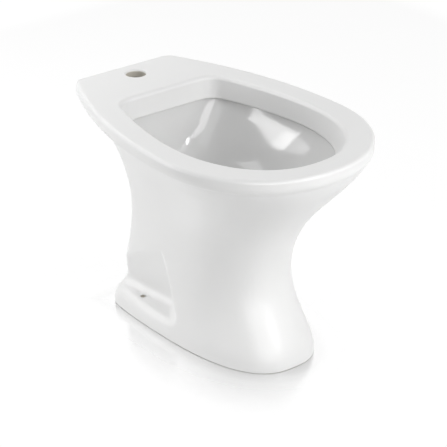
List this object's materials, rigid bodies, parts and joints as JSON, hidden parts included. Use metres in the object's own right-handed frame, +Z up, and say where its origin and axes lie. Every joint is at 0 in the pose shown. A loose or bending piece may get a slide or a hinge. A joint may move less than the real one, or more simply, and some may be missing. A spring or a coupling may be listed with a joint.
{
  "type": "bidet",
  "caption": "Floor-standing egg-shaped bidet in glazed china with a flat rim, deck with tap hole, waisted hollow pedestal, push plug waste and bottle trap.",
  "frame": {"origin": "on the floor under the middle of the bidet's length, in its plane of symmetry", "axes": "+Z up, +Y toward the wall behind the deck, -Y toward the nose, +X to the side"},
  "size_m": [0.367, 0.5502, 0.381],
  "materials": {
    "china": "white gloss glaze",
    "chrome": "polished chrome plate",
    "brass": "turned brass",
    "rubber": "black rubber",
    "spring_steel": "drawn spring wire",
    "washer_plastic": "natural polyethylene",
    "trap_plastic": "white polypropylene"
  },
  "bodies": {
    "body": {"ceramic_body": "china", "waste_flange": "chrome", "flange_seal": "rubber", "under_washer": "rubber", "slip_washer": "washer_plastic", "lock_nut": "brass", "cartridge_sleeve": "brass", "cartridge_cap": "brass", "cartridge_spring": "spring_steel", "trap_inlet_nut": "trap_plastic", "trap_inlet_washer": "rubber", "dip_tube": "trap_plastic", "trap_top_nut": "trap_plastic", "trap_top_washer": "rubber", "trap_head": "trap_plastic", "trap_cup": "trap_plastic", "cup_seal": "rubber", "outlet_nut": "trap_plastic", "outlet_washer": "rubber", "waste_pipe": "trap_plastic"},
    "plug": {"plug_cap": "chrome", "plug_seal": "rubber", "plunger": "brass"}
  },
  "joints": [
    {"name": "plug_press", "type": "slide", "parent": "body", "child": "plug", "axis": [0, 0, 1], "range_m": [-0.009, 0], "stiffness_N_per_m": 300, "springref_m": 0.012, "deforming": ["cartridge_spring"]}
  ]
}
